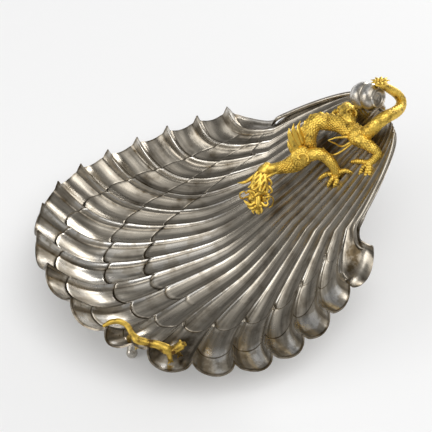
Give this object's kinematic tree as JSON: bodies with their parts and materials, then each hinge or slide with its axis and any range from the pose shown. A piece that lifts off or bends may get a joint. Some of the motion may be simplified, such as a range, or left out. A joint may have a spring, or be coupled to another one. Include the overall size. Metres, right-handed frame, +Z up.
{
  "type": "shell dish",
  "caption": "Footed silver scallop-shell dish with fluted stepped lobes, a curled umbo, a gilt dragon climbing down its neck and a small gilt lizard on the rim.",
  "frame": {"origin": "middle of the overall box, on the table plane under the feet", "axes": "+X along the shell towards the umbo and the dragon's tail, +Y to the far side of the picture, +Z up"},
  "size_m": [0.3076, 0.2696, 0.1576],
  "materials": {
    "silver": "polished silver, lightly tarnished to warm grey in the hollows",
    "gilt": "satin gilding over chased castings, darker in the recesses"
  },
  "bodies": {
    "root": {"shell_dish": "silver", "umbo_beak": "silver", "neck_border_left": "silver", "neck_border_right": "silver", "foot_front_left": "silver", "foot_front_right": "silver", "foot_rear_left": "silver", "foot_rear_right": "silver", "nut_foreleg_right": "silver", "nut_foreleg_left": "silver", "nut_hindleg_right": "silver", "nut_hindleg_left": "silver", "dragon_trunk": "gilt", "dragon_tail": "gilt", "dragon_tail_tuft": "gilt", "dragon_head": "gilt", "dragon_whisker_left": "gilt", "dragon_whisker_right": "gilt", "dragon_foreleg_right": "gilt", "dragon_foreleg_left": "gilt", "dragon_hindleg_right": "gilt", "dragon_hindleg_left": "gilt", "rim_lizard": "gilt"}
  },
  "joints": []
}
